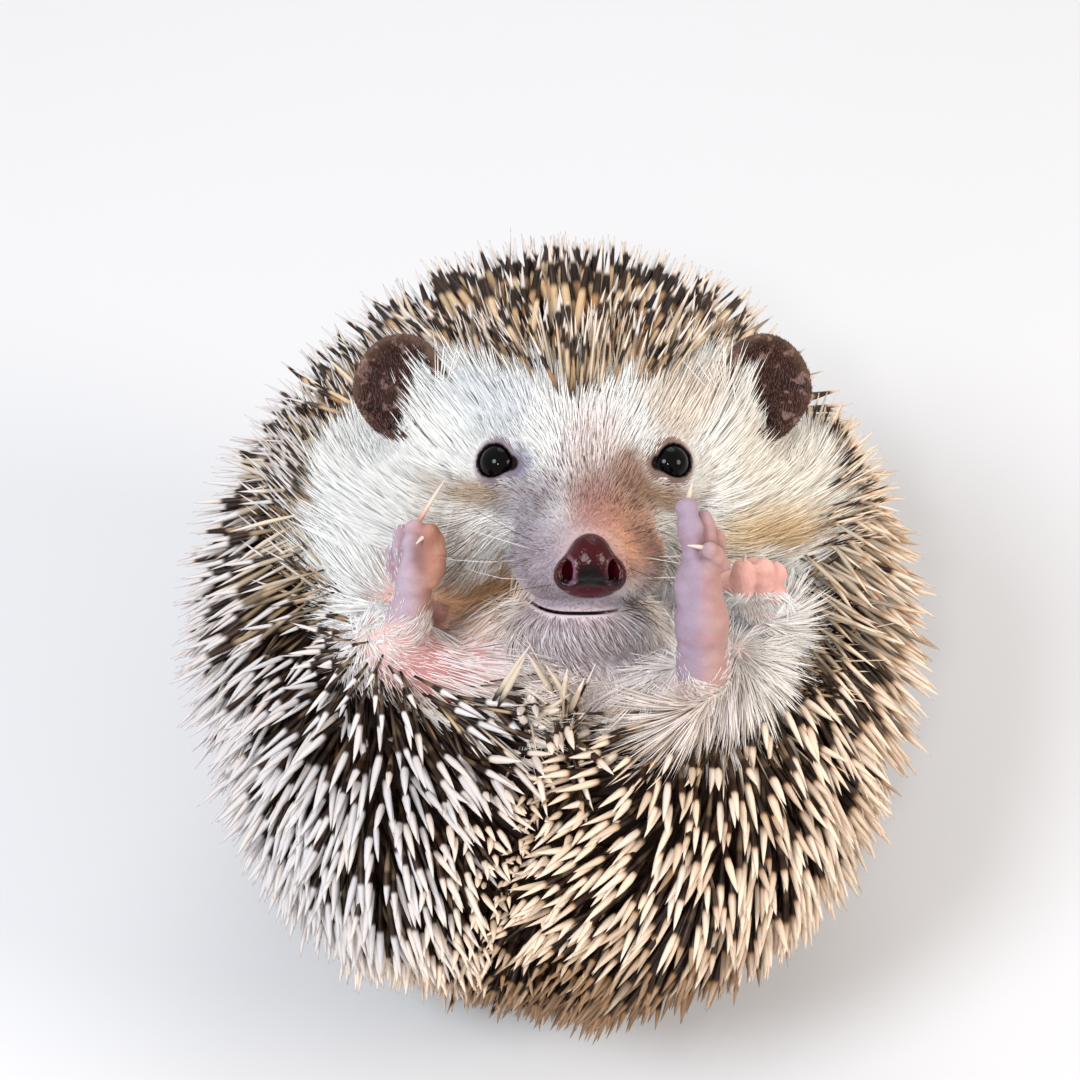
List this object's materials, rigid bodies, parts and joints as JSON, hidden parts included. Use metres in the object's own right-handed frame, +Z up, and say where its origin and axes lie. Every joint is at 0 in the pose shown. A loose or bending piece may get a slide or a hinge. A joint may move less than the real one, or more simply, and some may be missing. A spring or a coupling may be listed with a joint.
{
  "type": "hedgehog",
  "caption": "Life-size hedgehog curled on its back into a spiny ball, with its furred face, ears, front paws and raised hind feet showing in the opening.",
  "frame": {"origin": "on the floor, under the middle of the bounding box", "axes": "+Z up from the floor the back rests on; -Y is the way the raised nose and the belly face, towards a viewer in front; +X is the animal's left"},
  "size_m": [0.0988, 0.101, 0.0916],
  "materials": {
    "spines": "banded cream and dark brown spines, satin",
    "face_fur": "soft white fur",
    "belly_fur": "sparse pale fur over pink skin",
    "muzzle_skin": "thin-haired pinkish grey skin",
    "pink_skin": "bare pink skin, slightly moist",
    "ear_skin": "thin dark brown skin",
    "nose_skin": "wet, fine-grained nose leather",
    "eye": "wet black eye",
    "claw_horn": "translucent pale horn"
  },
  "bodies": {
    "root": {"eye_left": "eye", "claw_hind_left_1": "claw_horn", "claw_hind_left_2": "claw_horn", "claw_hind_left_3": "claw_horn", "claw_hind_left_4": "claw_horn", "claw_fore_left_1": "claw_horn", "claw_fore_left_2": "claw_horn", "claw_fore_left_3": "claw_horn", "claw_fore_left_4": "claw_horn", "claw_fore_left_5": "claw_horn", "hindfoot_left": "pink_skin", "forepaw_left": "pink_skin", "ear_left": "ear_skin", "hindleg_left": "pink_skin", "foreleg_left": "belly_fur", "eye_right": "eye", "claw_hind_right_1": "claw_horn", "claw_hind_right_2": "claw_horn", "claw_hind_right_3": "claw_horn", "claw_hind_right_4": "claw_horn", "claw_fore_right_1": "claw_horn", "claw_fore_right_2": "claw_horn", "claw_fore_right_3": "claw_horn", "claw_fore_right_4": "claw_horn", "claw_fore_right_5": "claw_horn", "hindfoot_right": "pink_skin", "forepaw_right": "pink_skin", "ear_right": "ear_skin", "hindleg_right": "pink_skin", "foreleg_right": "belly_fur", "nose": "nose_skin", "muzzle": "muzzle_skin", "head": "face_fur", "lower_jaw": "muzzle_skin", "tail": "pink_skin", "neck": "face_fur", "belly": "belly_fur", "crown": "spines", "flank_right": "spines", "rump": "spines", "flank_left": "spines", "back": "spines"}
  },
  "joints": []
}
